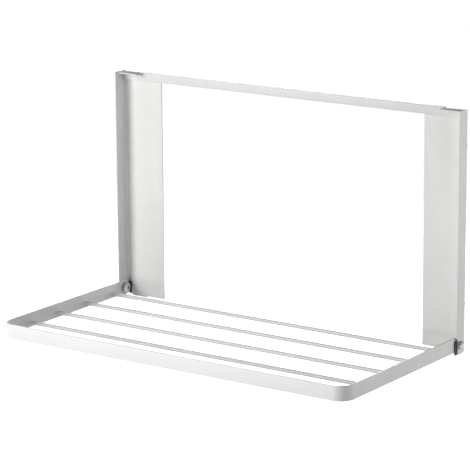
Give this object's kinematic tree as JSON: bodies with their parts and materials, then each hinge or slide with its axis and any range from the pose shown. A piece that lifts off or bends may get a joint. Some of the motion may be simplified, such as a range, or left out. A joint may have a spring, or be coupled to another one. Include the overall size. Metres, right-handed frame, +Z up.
{
  "type": "wall mounted fold down drying rack",
  "caption": "Wide shelf frame of flat bar with round rods across it, hinged at its rear ends between two L-shaped steel wall uprights joined by a top rail.",
  "frame": {"origin": "on the wall plane, midway between the uprights and level with their lower ends", "axes": "+X to the right along the rack's width, +Y into the wall, +Z up; the room is on the -Y side"},
  "size_m": [0.6118, 0.3472, 0.3519],
  "materials": {
    "white_coat": "satin powder coat",
    "nylon": "moulded nylon",
    "rubber": "matt rubber",
    "plated_steel": "bright plating",
    "zinc_steel": "zinc plating",
    "plug_nylon": "moulded nylon"
  },
  "bodies": {
    "wall_frame": {"left_upright": "white_coat", "right_upright": "white_coat", "top_rail": "white_coat", "wall_bracket_left": "white_coat", "pivot_bolt_left": "plated_steel", "cap_nut_left": "plated_steel", "pivot_washer_left": "plated_steel", "friction_washer_left": "nylon", "pivot_stop_left": "nylon", "top_pad_left": "rubber", "wall_screw_left_1": "zinc_steel", "wall_plug_left_1": "plug_nylon", "wall_screw_left_2": "zinc_steel", "wall_plug_left_2": "plug_nylon", "wall_bracket_right": "white_coat", "pivot_bolt_right": "plated_steel", "cap_nut_right": "plated_steel", "pivot_washer_right": "plated_steel", "friction_washer_right": "nylon", "pivot_stop_right": "nylon", "top_pad_right": "rubber", "wall_screw_right_1": "zinc_steel", "wall_plug_right_1": "plug_nylon", "wall_screw_right_2": "zinc_steel", "wall_plug_right_2": "plug_nylon"},
    "shelf": {"shelf_frame": "white_coat", "rod_1": "white_coat", "rod_2": "white_coat", "rod_3": "white_coat", "rod_4": "white_coat", "pivot_bush_left": "nylon", "pivot_bush_right": "nylon"}
  },
  "joints": [
    {"name": "shelf_fold", "type": "hinge", "parent": "wall_frame", "child": "shelf", "pos_m": [0, -0.0184, 0.0138], "axis": [-1, 0, 0], "range_deg": [0, 90]}
  ]
}
